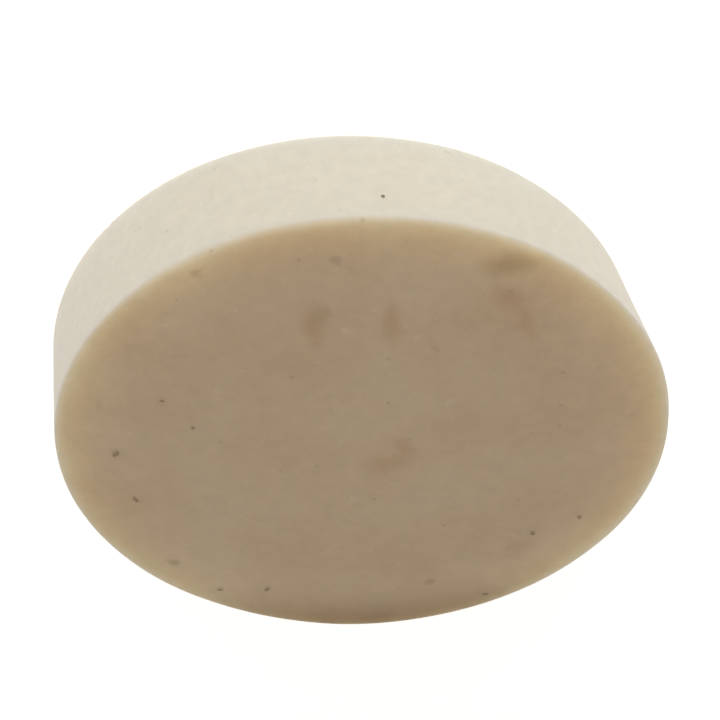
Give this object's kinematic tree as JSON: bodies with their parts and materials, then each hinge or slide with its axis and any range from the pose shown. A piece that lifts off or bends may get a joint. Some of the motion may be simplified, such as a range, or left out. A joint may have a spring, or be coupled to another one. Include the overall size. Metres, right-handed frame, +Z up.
{
  "type": "shaving soap puck",
  "caption": "Round flat puck of cast shaving soap with parallel cut faces, crisp rims, a slightly leaning wall and small grains of herb in its skin.",
  "frame": {"origin": "middle of the puck's bounding box, on the cut face that it lies on", "axes": "+Z up, square to the two cut faces; +X the way that the wall leans out from the upper face to the lower one"},
  "size_m": [0.0774, 0.075, 0.0152],
  "materials": {
    "soap": "satin cured soap, cream-white, waxy and slightly translucent, so it turns warm tan where it is in shade",
    "herb": "matt dried plant matter, dark brown-green"
  },
  "bodies": {
    "root": {"soap_puck": "soap", "herb_grain_01": "herb", "herb_grain_02": "herb", "herb_grain_03": "herb", "herb_grain_04": "herb", "herb_grain_05": "herb", "herb_grain_06": "herb", "herb_grain_07": "herb", "herb_grain_08": "herb", "herb_grain_09": "herb", "herb_grain_10": "herb"}
  },
  "joints": []
}
